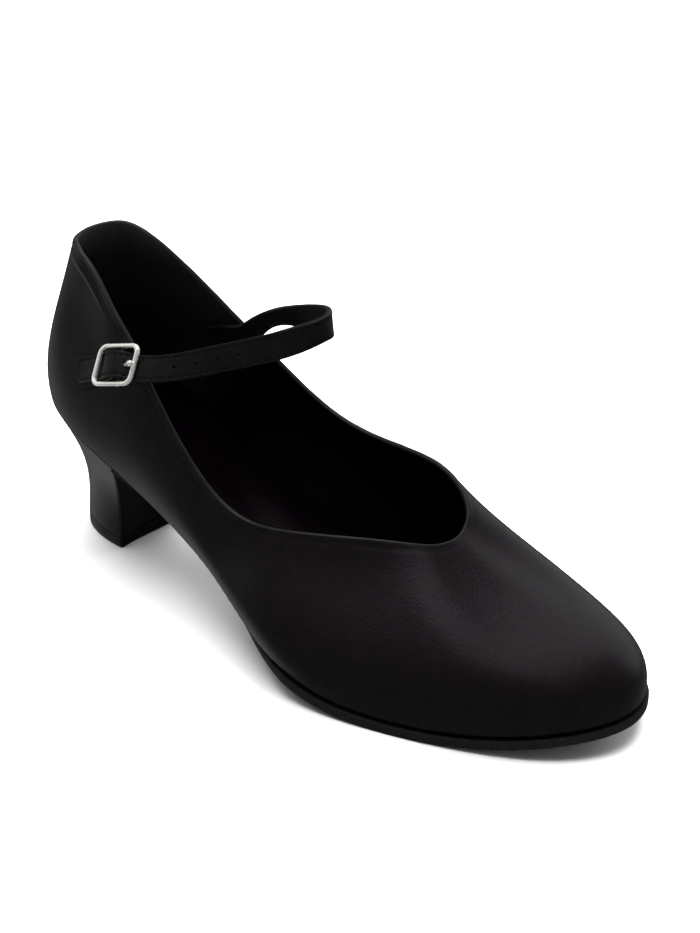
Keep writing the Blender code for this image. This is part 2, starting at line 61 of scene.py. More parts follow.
# Forms in the leather: depth, distance from the topline or the foot, width
RIM_GROOVE = (0.42, 1.6, 0.6)
RIM_FOLD = (0.13, 1.9, 0.8)
RIM_WAVES = (0.07, 1.2, 2.0)
LINING_GROOVE = (0.12, 3.0, 0.35)
PUCKERS = (0.09, 1.1, 0.9)
# Puckers: radians for each millimetre round the foot, and where along the shoe they set in
PUCKER_TURN, PUCKERS_FROM = 1.9, (60, 120)
# Raised line below the lateral topline: height, width, distance from the topline at its back end,
# how fast that distance grows with the share, and the shares where it starts and ends
RAISED_LINE, RAISED_WIDTH, RAISED_AT, RAISED_SLOPE = 0.55, 0.95, 3.2, 36.0
RAISED_SHARES = (0.028, 0.046, 0.066, 0.092)
# The lateral topline leans out between back and buckle: by how much, how far down, drop, shares
LEAN_OUT, LEAN_DOWN, LEAN_DROP = 1.25, 24, 0.014
LEAN_SHARES = (0.035, 0.06, 0.088, 0.112)

# Insole: thickness, gap to the wall, rounded edge's drop and width, height of its soft waves
INSOLE_THICK, INSOLE_SIDE_GAP = 1.6, 0.35
INSOLE_EDGE_DROP, INSOLE_EDGE = 0.35, 0.8
INSOLE_WAVES = 1.2
SOLE_COLUMNS = 260

# Heel
TIP_HEIGHT, TIP_EDGE = 4.6, 0.4
SEAT_INSET = 0.4
BREAST_TOP = (46.8, 0.09)
BASE_BACK, BASE_FRONT, BASE_HALF, BASE_SKEW = 13.0, 39.8, 15.4, 0.13
BREAST_HOLLOW, BREAST_CORNER, SEAT_CORNER = 1.1, 1.3, 0.7
HEEL_ROWS, SIDE_POINTS = 30, 44
# Columns of the heel's outline that belong to the breast: before its end, after its start
BREAST_LAST, BREAST_FIRST = 13, 2
# Groove under the seat: share of the drop to the tip, inset; its depth away from the back
SEAT_GROOVE = ((0.0, 1.5), (0.010, 1.2), (0.016, 0.5), (0.022, 0.15), (0.030, 0.0))
BASE_ROUND = ((0.995, 0.0), (1.0, 0.05))
SHALLOW_GROOVE = 0.4
# Columns over which the groove deepens after the breast's start and eases off before its end
GROOVE_DEEPENS, GROOVE_EASES = (4, 12), (26, 18)
# Tip edge, top to bottom: inset, height
TIP_SECTION = (
    (0.05, TIP_HEIGHT), (0.0, TIP_HEIGHT - 0.06), (0.0, 4.0), (0.0, 2.4), (0.0, 0.6),
    (0.1, 0.22), (TIP_EDGE, 0.0),
)

# Strap, tab and buckle
STRAP_THICK, TAB_THICK = 1.8, 1.0
STRAP_STEPS, TAB_STEPS = 330, 90
STRAP_PLAIN_END = 24.0
STRIP_ROUND = 0.42
BUCKLE_LENGTH, BUCKLE_HEIGHT = 18.2, 14.0
BAR, BAR_CORNER = 1.5, 2.6
PIVOT_RADIUS, PIVOT_DROP = 0.6, 1.9
PRONG_SLOT, SLOT_RADIUS = 3.0, 2.6
PRONG_EYE, PRONG_EYE_WIDTH = 1.6, 1.9
# Prong axis: start beyond and above the middle bar, end before the front bar and above the strap
PRONG_START, PRONG_RISE, PRONG_SHORT, PRONG_LIFT = 1.2, 0.4, 0.1, 0.8
HOLE_RADIUS, SPARE_HOLE_RADIUS = 1.2, 0.55
# Spare holes, along the strap from the middle bar
SPARE_HOLES = (-5.2, 24.0, 32.0, 40.0, 48.0)
# How far the frame's upper and lower corners lean along the strap
FRAME_SKEW = 0.9

# Height of the line where upper and sole meet: x, z
SOLE_LINE = (
    (-2, 51.2), (25, 47.2), (50, 39.2), (75, 28.6), (100, 19.6), (125, 11.8),
    (148, 5.5), (165, 3.75), (180, 3.75), (200, 5.5), (222, 9.4), (238, 12.2),
)
# Sole edge beyond the upper's lower outline: x, out
SOLE_EDGE = ((45, -0.8), (62, -2.6), (100, -2.8), (116, -1.0), (134, 1.2), (240, 1.2))
# Outsole thickness: x, thickness
SOLE_THICKNESS = ((40, 2.4), (90, 2.6), (125, 3.6), (150, 3.7), (240, 3.7))
# Slope of the sole's end along the heel breast
SOLE_END_SLOPE = 0.34
# Outsole edge, top to bottom, with the groove under the upper: inset, share of the thickness
SOLE_SECTION = (
    (1.6, 0.10), (0.75, 0.04), (0.3, 0.05), (0.03, 0.14), (0.0, 0.3), (0.0, 0.5), (0.0, 0.72),
    (0.06, 0.84), (0.2, 0.93), (0.5, 0.985), (0.9, 1.0),
)

# Upper stations, from the heel back to the toe tip
UPPER_COLUMNS = (
    "foot_x", "foot_lat", "foot_med", "top_x", "top_lat", "top_med", "top_z", "med_rise",
    "low_reach", "low_lean", "high_reach", "high_lean",
)
UPPER_STATIONS = {
    "heel_back":   (1.0, 1.5, 1.5, 12.6, 0.3, 0.3, 109.3, 0.0, 17.8, 13.0, 27.8, 11.0),
    "heel_corner": (5.8, -12.9, 12.6, 15.1, -9.2, 9.3, 109.1, 0.0, 16.7, 13.8, 27.0, 13.5),
    "heel_side":   (20.0, -22.9, 22.4, 25.8, -13.4, 14.1, 108.2, -0.5, 16.1, 12.7, 28.0, 9.0),
    "heel_front":  (50.0, -26.9, 25.3, 58.3, -24.7, 21.4, 82.5, 2.0, 14.0, 19.0, 20.0, 15.5),
    "waist":       (91.7, -31.7, 18.4, 93.9, -30.3, 27.7, 50.3, 8.2, 14.0, 27.0, 18.0, 9.5),
    "instep":      (130.0, -44.9, 27.0, 121.6, -28.7, 26.3, 48.4, 7.7, 16.1, 23.0, 17.8, 26.6),
    "ball":        (165.0, -41.5, 33.8, 145.6, -19.2, 23.1, 50.6, 6.3, 19.5, 11.1, 21.7, 31.5),
    "toe_side":    (200.0, -29.6, 31.1, 160.2, -9.4, 15.4, 49.8, 1.8, 20.4, 11.6, 37.1, 55.5),
    "toe_corner":  (225.4, -12.1, 21.2, 164.2, -3.0, 7.7, 48.8, 0.0, 23.8, 8.0, 43.2, 57.5),
    "toe_tip":     (232.7, 3.7, 3.7, 165.1, 2.0, 2.0, 48.5, 0.0, 23.5, 8.1, 45.9, 60.5),
}

# Heel block taper: share of the drop to the tip, share of the way in to the base outline
HEEL_TAPER = (
    (0.0, 0.0), (0.14, 0.30), (0.30, 0.60), (0.48, 0.86), (0.66, 1.0), (0.84, 1.03), (1.0, 1.0),
)

# Buckle plane
BUCKLE_AT = (51.2, -29.3, 83.8)
BUCKLE_ALONG = (0.940, 0.022, 0.339)
BUCKLE_ACROSS = (-0.288, 0.584, 0.759)

# Strap inside the buckle: distance along it, shift across, height over the buckle plane
STRAP_IN_BUCKLE = (
    (-8.4, -0.2, -2.0), (-5.6, -0.1, -0.9), (-2.6, 0.0, 0.95), (0.0, 0.0, 1.4),
    (2.6, -0.1, 0.9), (5.6, -0.4, -0.95), (8.4, -0.7, -2.0), (11.0, -0.9, -2.3),
)
# Widths: share of the length, width
STRAP_WIDTHS = ((0.0, 8.2), (0.05, 8.8), (0.62, 8.8), (0.74, 7.8), (1.0, 7.6))
TAB_WIDTHS = ((0.0, 10.0), (0.35, 10.0), (0.6, 8.6), (1.0, 7.6))
# Strap loop over the instep: centre line x, y, z and the direction across the strap
STRAP_LOOP = (
    (89.6, -20.2, 96.2, -0.10, 0.30, 0.95),
    (109.6, -12.2, 105.4, -0.03, 0.15, 0.98),
    (116.2, -3.4, 108.8, -0.02, -0.08, 0.99),
    (110.0, 5.8, 105.6, -0.29, 0.20, 0.92),
    (93.2, 14.2, 97.7, -0.38, -0.05, 0.92),
    (78.0, 18.2, 90.2, -0.45, -0.62, 0.62),
    (70.6, 19.2, 84.6, -0.45, -0.66, 0.58),
)
# Places on the upper's wall: share of the way round, share of the height, distance outward
STRAP_TIP = (0.0805, 0.545, 2.6)
STRAP_END = ((0.8745, 0.985, -1.45), (0.887, 0.835, -1.35), (0.897, 0.69, -1.35))
TAB_ON_WALL = ((0.078, 0.485, 0.85), (0.087, 0.60, 0.85))
# Prong: share of its length, radius
PRONG_PROFILE = (
    (0.0, 0.55), (0.3, 0.6), (0.62, 0.62), (0.78, 0.66), (0.86, 0.78), (0.92, 0.95), (0.98, 1.0),
    (1.04, 0.92), (1.09, 0.7), (1.12, 0.4), (1.13, 0.12),
)

# Stitch rows: inset from the strap's edge, pitch, thread length and radius
STITCH_INSET, STITCH_PITCH, STITCH_LENGTH, STITCH_RADIUS = 1.15, 2.15, 1.45, 0.2
# Groove under a row: depth, width; and the length of strap at its inner end that has no row
STITCH_GROOVE, STITCH_GROOVE_WIDTH, STITCH_STOP = 0.16, 0.34, 22.0

# Camera, in metres: place and axes solved from the photograph
CAMERA_PLACE = (0.50663, -0.54117, 0.47851)
CAMERA_RIGHT = (0.791389, 0.611086, 0.016639)
CAMERA_UP = (-0.332305, 0.407198, 0.850748)
CAMERA_BACK = (0.513105, -0.678802, 0.525311)
CAMERA_LENS = 96.374

# Lamps, in metres: place, aim, size, watts, seen in reflections
LAMPS = {
    "top_box":     ((-0.42, 0.24, 1.45), (-0.42, 0.24, 0), (1.25, 2.5), 14.0, True),
    "crest_box":   ((0.2, -0.15, 1.45), (0.2, -0.15, 0), (0.7, 0.8), 1.5, True),
    "back_box":    ((-0.1, 2.1, 0.8), (0.08, 0, 0.05), (2.8, 1.8), 9.0, True),
    "left_box":    ((-2.0, -0.6, 0.6), (0.0, 0, 0.05), (1.5, 1.4), 2.8, True),
    "left_bounce": ((-1.30, -0.2, -1.0), (0.0, 0, 0.04), (1.3, 1.3), 1.4, True),
    "ceiling":     ((-0.25, 0.45, 2.15), (0.08, 0, 0), (2.3, 2.1), 140.0, False),
    "low_back":    ((0.0, 2.2, 0.75), (0.08, 0, 0), (3.2, 1.0), 60.0, False),
}
WORLD_LIGHT = 0.17
FLOOR_REACH = 6.0


def unit(v):
    v = np.asarray(v, float)
    return v / np.linalg.norm(v, axis=-1, keepdims=True)


def running_length(points):
    gaps = np.linalg.norm(np.diff(points, axis=0), axis=1)
    return np.concatenate([[0], np.cumsum(gaps)])


def bell(value, middle, width):
    return np.exp(-((value - middle) / width) ** 2)


def ramp(value, low, high):
    """Smooth step from 0 at low to 1 at high."""
    t = np.clip((np.asarray(value, float) - low) / (high - low), 0, 1)
    return t * t * (3 - 2 * t)


def stretch(value, start, full, fall, end):
    """0 to 1 between start and full, and back to 0 between fall and end."""
    return ramp(value, start, full) * (1 - ramp(value, fall, end))


def form(kind, distance):
    """Height of one of the leather's forms at a distance."""
    depth, at, width = kind
    return depth * bell(distance, at, width)


def cubic(knots, values, at):
    """Natural cubic curve through a table of values, read at the given places."""
    knots = np.asarray(knots, float)
    values = np.asarray(values, float)
    at = np.asarray(at, float)
    count = len(knots)
    step = np.diff(knots)
    flat = values.reshape(count, -1)
    matrix = np.eye(count)
    right = np.zeros_like(flat)
    for i in range(1, count - 1):
        matrix[i, i - 1:i + 2] = (step[i - 1], 2 * (step[i - 1] + step[i]), step[i])
        right[i] = 6 * ((flat[i + 1] - flat[i]) / step[i] - (flat[i] - flat[i - 1]) / step[i - 1])
    bend = np.linalg.solve(matrix, right)
    i = np.clip(np.searchsorted(knots, at) - 1, 0, count - 2)
    span = step[i][..., None]
    low = (knots[i + 1] - at)[..., None] / span
    high = 1 - low
    out = low * flat[i] + high * flat[i + 1]
    out = out + ((low ** 3 - low) * bend[i] + (high ** 3 - high) * bend[i + 1]) * span ** 2 / 6
    return out.reshape(at.shape + values.shape[1:])


def closed_cubic(knots, values, period, at):
    knots = np.asarray(knots, float)
    values = np.asarray(values, float)
    pad = 5
    knots = np.concatenate([knots[-pad:] - period, knots, knots[:pad] + period])
    values = np.concatenate([values[-pad:], values, values[:pad]])
    return cubic(knots, values, at)


def sole_height(x):
    xs, zs = zip(*SOLE_LINE)
    return cubic(xs, zs, x)


def sole_thickness(x):
    return np.interp(x, *zip(*SOLE_THICKNESS))


def station_rows():
    """The table as one closed loop: heel back, lateral side, toe tip, medial side."""
    rows = []
    named = [dict(zip(UPPER_COLUMNS, row)) for row in UPPER_STATIONS.values()]
    for s in named:
        rows.append([s["foot_x"], s["foot_lat"], s["top_x"], s["top_lat"], s["top_z"]]
                    + [s[k] for k in UPPER_COLUMNS[8:]])
    for s in named[-2:0:-1]:
        rows.append([s["foot_x"], s["foot_med"], s["top_x"], s["top_med"], s["top_z"] + s["med_rise"]]
                    + [s[k] for k in UPPER_COLUMNS[8:]])
    return np.array(rows), len(named) - 1


def columns_at(share):
    """Table rows blended round the loop: share 0 heel back, 0.5 toe tip, 1 heel back."""
    rows, toe = station_rows()
    foot = rows[:, :2]
    gaps = np.linalg.norm(np.roll(foot, -1, 0) - foot, axis=1)
    knots = np.concatenate([[0], np.cumsum(gaps)])
    share = np.asarray(share, float)
    along = np.where(share < 0.5, share * 2 * knots[toe],
                     knots[toe] + (share - 0.5) * 2 * (knots[-1] - knots[toe]))
    return closed_cubic(knots[:-1], rows, knots[-1], along)


def foot_normal(share):
    share = np.asarray(share, float)
    d = 0.006
    tangent = columns_at(np.mod(share + d, 1))[..., :2] - columns_at(np.mod(share - d, 1))[..., :2]
    tangent = unit(tangent)
    return np.stack([tangent[..., 1], -tangent[..., 0]], -1)


def outer_points(share, height):
    """Points of the upper's outer surface: share of the way round, share of the height."""
    share, height = np.broadcast_arrays(np.asarray(share, float), np.asarray(height, float))
    fx, fy, tx, ty, tz, low, low_lean, high, high_lean = np.moveaxis(columns_at(share), -1, 0)
    fz = sole_height(fx) + GAP / 2
    foot, top = np.stack([fx, fy, fz], -1), np.stack([tx, ty, tz], -1)
    plan = unit((foot - top)[..., :2] + foot_normal(share) * LEAN_MIX)
    out = np.concatenate([plan, np.zeros_like(plan[..., :1])], -1)
    up = np.array([0, 0, 1.0])
    low_lean, high_lean = np.radians(low_lean)[..., None], np.radians(high_lean)[..., None]
    low_point = foot + low[..., None] * (out * np.sin(low_lean) + up * np.cos(low_lean))
    high_point = top + high[..., None] * (out * np.sin(high_lean) - up * np.cos(high_lean))
    rise = height[..., None]
    keep = 1 - rise
    return (keep ** 3 * foot + 3 * rise * keep ** 2 * low_point
            + 3 * rise ** 2 * keep * high_point + rise ** 3 * top)


def outward(share, height):
    """Unit normal of the outer surface."""
    d = 0.004
    round_way = outer_points(np.mod(share + d, 1), height) - outer_points(np.mod(share - d, 1), height)
    up_way = outer_points(share, height + d) - outer_points(share, height - d)
    return unit(np.cross(round_way, up_way))


def wall_point(share, height, off):
    depth = off if off > 0 else off - WALL
    share, height = np.array(share), np.array(height)
    return outer_points(share, height) + outward(share, height) * depth


def foot_line(share, out):
    return columns_at(share)[..., :2] + foot_normal(share) * np.asarray(out, float)[..., None]


def share_at_breast(side):
    tries = np.linspace(0.02, 0.25, 6000)
    if side > 0:
        tries = 1 - tries
    plan = columns_at(tries)[:, :2]
    off = plan[:, 0] - BREAST_TOP[0] - BREAST_TOP[1] * plan[:, 1]
    return float(tries[np.argmax(off > 0)])


def placed(points):
    return (np.asarray(points, float).reshape(-1, 3) - ORIGIN) * MM


def mesh_object(name, points, faces, materials, face_slots=None, sharp=40.0):
    """A smooth-shaded piece from table millimetres, with edges over sharp degrees kept crisp."""
    mesh = bpy.data.meshes.new(name)
    mesh.from_pydata(placed(points).tolist(), [], faces)
    for mat in materials:
        mesh.materials.append(mat)
    if face_slots is not None:
        mesh.polygons.foreach_set("material_index", face_slots)
    shape = bmesh.new()
    shape.from_mesh(mesh)
    bmesh.ops.remove_doubles(shape, verts=shape.verts, dist=1e-6)
    bmesh.ops.recalc_face_normals(shape, faces=shape.faces)
    shade(shape, sharp)
    shape.to_mesh(mesh)
    shape.free()
    obj = bpy.data.objects.new(name, mesh)
    bpy.context.scene.collection.objects.link(obj)
    return obj


def shade(shape, sharp):
    limit = math.radians(sharp)
    for face in shape.faces:
        face.smooth = True
    for edge in shape.edges:
        if len(edge.link_faces) == 2:
            edge.smooth = edge.calc_face_angle(0.0) < limit


def ring_faces(rings, count, closed_stack):
    faces = []
    for j in range(rings if closed_stack else rings - 1):
        k = (j + 1) % rings
        for i in range(count):
            n = (i + 1) % count
            faces.append((j * count + i, j * count + n, k * count + n, k * count + i))
    return faces


def capped_faces(rings, count):
    """Faces of a tube of rings with both its ends closed."""
    last = (rings - 1) * count
    return ring_faces(rings, count, False) + [tuple(range(count)), tuple(range(last, last + count))]


def grid_faces(rows, cols, start=0):
    return [(start + j * cols + i, start + j * cols + i + 1,
             start + (j + 1) * cols + i + 1, start + (j + 1) * cols + i)
            for j in range(rows - 1) for i in range(cols - 1)]


def keep(obj, slot, *nodes):
    """Puts a piece on the shoe's one body, in place of its solids."""
    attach(obj, "root")
    if nodes:
        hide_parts(*nodes)
    return obj


# Materials


def new_material(name, colour, roughness, specular=0.5, metallic=0.0):
    made = bpy.data.materials.new(name)
    made.use_nodes = True
    nodes, links = made.node_tree.nodes, made.node_tree.links
    shader = nodes["Principled BSDF"]
    shader.inputs["Base Color"].default_value = (*colour, 1.0)
    shader.inputs["Roughness"].default_value = roughness
    shader.inputs["Specular IOR Level"].default_value = specular
    shader.inputs["Metallic"].default_value = metallic
    where = nodes.new("ShaderNodeTexCoord").outputs["Object"]
    return made, nodes, links, shader, where


def noise(nodes, links, where, scale, detail=3.0, rough=0.55):
    node = nodes.new("ShaderNodeTexNoise")
    node.inputs["Scale"].default_value = scale
    node.inputs["Detail"].default_value = detail
    node.inputs["Roughness"].default_value = rough
    links.new(where, node.inputs["Vector"])
    return node.outputs["Fac"]


def spread(nodes, links, value, low, high):
    node = nodes.new("ShaderNodeMapRange")
    node.inputs["From Min"].default_value = 0.3
    node.inputs["From Max"].default_value = 0.7
    node.inputs["To Min"].default_value = low
    node.inputs["To Max"].default_value = high
    links.new(value, node.inputs["Value"])
    return node.outputs["Result"]


def two_tone(nodes, links, shader, value, dark, light):
    mix = nodes.new("ShaderNodeMix")
    mix.data_type = "RGBA"
    mix.inputs["A"].default_value = (*dark, 1.0)
    mix.inputs["B"].default_value = (*light, 1.0)
    links.new(value, mix.inputs["Factor"])
    links.new(mix.outputs["Result"], shader.inputs["Base Color"])


def bump(nodes, links, shader, layers):
    """Chains bump layers: (height output, depth in metres, strength)."""
    last = None
    for height, depth, strength in layers:
        node = nodes.new("ShaderNodeBump")
        node.inputs["Distance"].default_value = depth
        node.inputs["Strength"].default_value = strength
        links.new(height, node.inputs["Height"])
        if last is not None:
            links.new(last, node.inputs["Normal"])
        last = node.outputs["Normal"]
    links.new(last, shader.inputs["Normal"])


def leather(name, dark, light, roughness, specular, grain=1500.0, depth=0.00005, strength=0.35,
            tint=(1.0, 1.0, 1.0), folds=0.25):
    """Smooth leather: fine pebbled grain, soft pull marks, a little change of gloss and tone."""
    made, nodes, links, shader, where = new_material(name, dark, roughness, specular)
    cells = nodes.new("ShaderNodeTexVoronoi")
    cells.feature = "SMOOTH_F1"
    cells.inputs["Scale"].default_value = grain
    cells.inputs["Smoothness"].default_value = 0.6
    links.new(where, cells.inputs["Vector"])
    fine = noise(nodes, links, where, grain * 1.7, 4.0)
    pulls = noise(nodes, links, where, 210.0, 3.0)
    broad = noise(nodes, links, where, 38.0, 2.0)
    links.new(spread(nodes, links, broad, roughness - 0.03, roughness + 0.05),
              shader.inputs["Roughness"])
    two_tone(nodes, links, shader, spread(nodes, links, pulls, 0.0, 1.0), dark, light)
    bump(nodes, links, shader, (
        (pulls, 0.00022, folds),
        (broad, 0.0012, folds - 0.25),
        (cells.outputs["Distance"], depth, strength),
        (fine, depth * 0.5, strength * 0.6),
    ))
    shader.inputs["Specular Tint"].default_value = (*tint, 1.0)
    return made


def metal(name, colour, roughness):
    """Polished plate with fine wear and a slightly uneven gloss."""
    made, nodes, links, shader, where = new_material(name, colour, roughness, 0.5, 0.75)
    fine = noise(nodes, links, where, 900.0, 3.0)
    broad = noise(nodes, links, where, 160.0, 2.0)
    links.new(spread(nodes, links, broad, roughness * 0.8, roughness * 1.5),
              shader.inputs["Roughness"])
    bump(nodes, links, shader, ((fine, 0.00002, 0.12),))
    return made


def matte(name, dark, light, roughness, specular, scale, depth):
    """Dull surface of fine grains, for rubber, raw leather edges and thread."""
    made, nodes, links, shader, where = new_material(name, dark, roughness, specular)
    grains = noise(nodes, links, where, scale, 4.0)
    broad = noise(nodes, links, where, 120.0, 2.0)
    links.new(spread(nodes, links, broad, roughness - 0.05, roughness + 0.06),
              shader.inputs["Roughness"])
    two_tone(nodes, links, shader, spread(nodes, links, grains, 0.0, 1.0), dark, light)
    bump(nodes, links, shader, ((grains, depth, 0.5),))
    return made


def along_way(nodes, links, where, way, low, high):
    """0 to 1 between two distances along a direction, in metres."""
    reach = nodes.new("ShaderNodeVectorMath")
    reach.operation = "DOT_PRODUCT"
    reach.inputs[1].default_value = way
    links.new(where, reach.inputs[0])
    node = nodes.new("ShaderNodeMapRange")
    node.interpolation_type = "SMOOTHSTEP"
    node.inputs["From Min"].default_value = low
    node.inputs["From Max"].default_value = high
    links.new(reach.outputs["Value"], node.inputs["Value"])
    return node.outputs["Result"]


def lining(name):
    """Grey quarter lining, lighter towards its top edge at the back as painted light, and dark inside
    the vamp as painted shade.
    """
    made, nodes, links, shader, where = new_material(name, (0.005, 0.005, 0.005), 0.62, 0.09)
    grains = noise(nodes, links, where, 2600.0, 4.0)
    # Painted shade: the lining goes near black forward and down, deep in the toe.
    toe_shade = along_way(nodes, links, where, (1, 0, -1), -0.048, -0.018)
    # Painted light: the lining is lighter high up, where light falls on its top edge at the back.
    raised = along_way(nodes, links, where, (0, 0, 1), 0.094, 0.112)
    tone = None
    for value, colour in ((grains, (0.0138, 0.0132, 0.0135)), (raised, (0.033, 0.0320, 0.0320)),
                          (toe_shade, (0.0006, 0.0001, 0.0006))):
        mix = nodes.new("ShaderNodeMix")
        mix.data_type = "RGBA"
        mix.inputs["A"].default_value = (0.0108, 0.0102, 0.0105, 1.0)
        mix.inputs["B"].default_value = (*colour, 1.0)
        links.new(value, mix.inputs["Factor"])
        if tone is not None:
            links.new(tone, mix.inputs["A"])
        tone = mix.outputs["Result"]
    links.new(tone, shader.inputs["Base Color"])
    bump(nodes, links, shader, ((grains, 0.00004, 0.5),))
    return made


PLUM = (1.0, 0.94, 1.0)
UPPER_LEATHER = leather("upper_leather", (0.0011, 0.0006, 0.0011), (0.0021, 0.0013, 0.0021),
                        0.35, 0.27, 1500.0, 0.00009, 0.4, PLUM)
# Lighter copy of the upper leather on the rolled topline: painted highlight along the rim.
RIM_HIGHLIGHT_LEATHER = leather("topline_edge_painted_highlight", (0.0030, 0.0024, 0.0030), (0.0055, 0.0047, 0.0055), 0.34, 0.26)
LINING = lining("lining")
SOCK = leather("insole_sock", (0.0006, 0.0001, 0.0006), (0.0010, 0.0003, 0.0010),
               0.36, 0.09, folds=1.0)
SOLE_EDGE_LOOK = matte("sole_edge", (0.0050, 0.0038, 0.0041), (0.0105, 0.0086, 0.0088),
                       0.55, 0.13, 900.0, 0.0003)
SOLE_BASE_LOOK = matte("sole_base", (0.0075, 0.0066, 0.0060), (0.016, 0.014, 0.013),
                       0.7, 0.2, 700.0, 0.0002)
HEEL_COVER = leather("heel_cover", (0.0012, 0.0009, 0.0010), (0.0022, 0.0017, 0.0019),
                     0.30, 0.30, 1900.0, 0.00003)
# Heel cover with its gloss turned down: painted shade on the breast, which faces the shaded floor
# under the arch, and on the groove under the seat.
SHADED_HEEL_COVER = leather("heel_cover_painted_shade", (0.0022, 0.0012, 0.0015), (0.0034, 0.0021, 0.0025),
                       0.5, 0.07, 1900.0, 0.00003)
TIP_RUBBER = matte("tip_rubber", (0.0014, 0.0011, 0.0012), (0.0026, 0.0021, 0.0022),
                   0.42, 0.19, 1500.0, 0.00005)
# Top piece rubber with its gloss turned down: painted shade on its front, under the breast.
SHADED_TIP_FRONT = matte("tip_rubber_front_painted_shade", (0.0018, 0.0011, 0.0013), (0.0028, 0.0019, 0.0021),
                  0.6, 0.06, 1500.0, 0.00005)
STRAP_LEATHER = leather("strap_leather", (0.0012, 0.0010, 0.0013), (0.0027, 0.0023, 0.0028),
                        0.42, 0.24, 1300.0, 0.00007, 0.5)
STRAP_INSIDE = matte("strap_inside", (0.0036, 0.0033, 0.0036), (0.0056, 0.0052, 0.0056),
                     0.6, 0.22, 1800.0, 0.00005)
STRAP_HIDDEN = matte("strap_end", (0.0034, 0.0031, 0.0034), (0.0050, 0.0046, 0.0050),
                     0.8, 0.10, 1800.0, 0.00005)
THREAD = matte("black_thread", (0.0010, 0.0009, 0.0010), (0.0022, 0.0021, 0.0022),
               0.7, 0.15, 6000.0, 0.00006)
NICKEL = metal("polished_nickel", (0.88, 0.86, 0.82), 0.18)
# Dark metal: painted shade on the middle bar and end posts under the strap.
SHADED_BAR_METAL = metal("bar_metal_painted_shade", (0.07, 0.068, 0.065), 0.45)


# Upper


def upper_features(share, from_top, from_foot, points):
    """Millimetres that the leather stands out from its plain surface."""
    raised_at = RAISED_AT + RAISED_SLOPE * np.clip(share - LEAN_SHARES[0], 0, 0.07)
    raised = RAISED_LINE * bell(from_top, raised_at, RAISED_WIDTH) - form(RIM_GROOVE, from_top)
    out = stretch(share, *RAISED_SHARES) * raised
    x, y = points[..., 0], points[..., 1]
    puckers = np.sin(FOOT_LENGTH * share * PUCKER_TURN) * ramp(x, *PUCKERS_FROM)
    out = out + puckers * form(PUCKERS, from_foot) - form(RIM_FOLD, from_top)
    waves = np.sin(x * 0.41 + 1.3) * 0.5 + np.sin(x * 0.73 - y * 0.3) * 0.5
    out = out + waves * form(RIM_WAVES, from_top)
    lasted = np.clip(1 - from_foot / FEATHER, 0, 1)
    return out - FEATHER * (1 - np.sqrt(1 - lasted ** 2))


def build_upper():
    count = COLUMNS_ROUND
    share = np.arange(count) / count
    heights = np.concatenate([
        np.linspace(0, LOW_ROWS, 7)[:-1], np.linspace(LOW_ROWS, HIGH_ROWS, 34)[:-1],
        np.linspace(HIGH_ROWS, 1.0, 22),
    ])
    grid_share, grid_height = np.meshgrid(share, heights)
    lean = stretch(grid_share, *LEAN_SHARES)
    grid_height = grid_height * (1 - LEAN_DROP * lean)
    outer = outer_points(grid_share, grid_height)
    normal = outward(grid_share, grid_height)
    steps = np.linalg.norm(np.diff(outer, axis=0), axis=2)
    from_foot = np.concatenate([np.zeros((1, count)), np.cumsum(steps, axis=0)])
    from_top = from_foot[-1] - from_foot
    free = ramp(from_foot, 0.0, FOOT_EASE)
    normal[..., 2] *= free
    normal = unit(normal)
    outer = outer + normal * (LEAN_OUT * lean * (1 - ramp(from_top, 0, LEAN_DOWN)))[..., None]
    shown = outer + normal * upper_features(grid_share, from_top, from_foot, outer)[..., None]
    inner = outer - normal * (WALL + form(LINING_GROOVE, from_top))[..., None]
    floor = sole_height(inner[..., 0]) + GAP / 2 + from_foot
    inner[..., 2] = inner[..., 2] * free + floor * (1 - free)
    middle = (shown[-1] + inner[-1]) / 2
    half = (shown[-1] - inner[-1]) / 2
    leg = unit(outer[-1] - outer[-3])
    rim = [middle + half * math.cos(a) + leg * RIM_ROUND * math.sin(a)
           for a in np.linspace(0, math.pi, 10)[1:-1]]
    rings = list(shown) + rim + list(inner[::-1])
    faces = ring_faces(len(rings), count, True)
    lining_from = len(shown) + len(rim)
    slots = np.zeros(len(faces), int)
    # The rolled topline takes the lighter leather, a painted highlight along the rim.
    slots[(len(shown) - 1) * count:] = 2
    slots[(lining_from - 1) * count:] = 1
    return mesh_object("upper_shell", np.concatenate(rings), faces,
                       (UPPER_LEATHER, LINING, RIM_HIGHLIGHT_LEATHER), slots, 80)


# Insole and sole


def ribs(share_half, out, across):
    """Points across the shoe between opposite places of the foot line, heel to toe."""
    lateral = foot_line(share_half, out)
    medial = foot_line(np.mod(1 - share_half, 1), out)
    a = across[None, :, None]
    return lateral[:, None] * (1 - a) + medial[:, None] * a


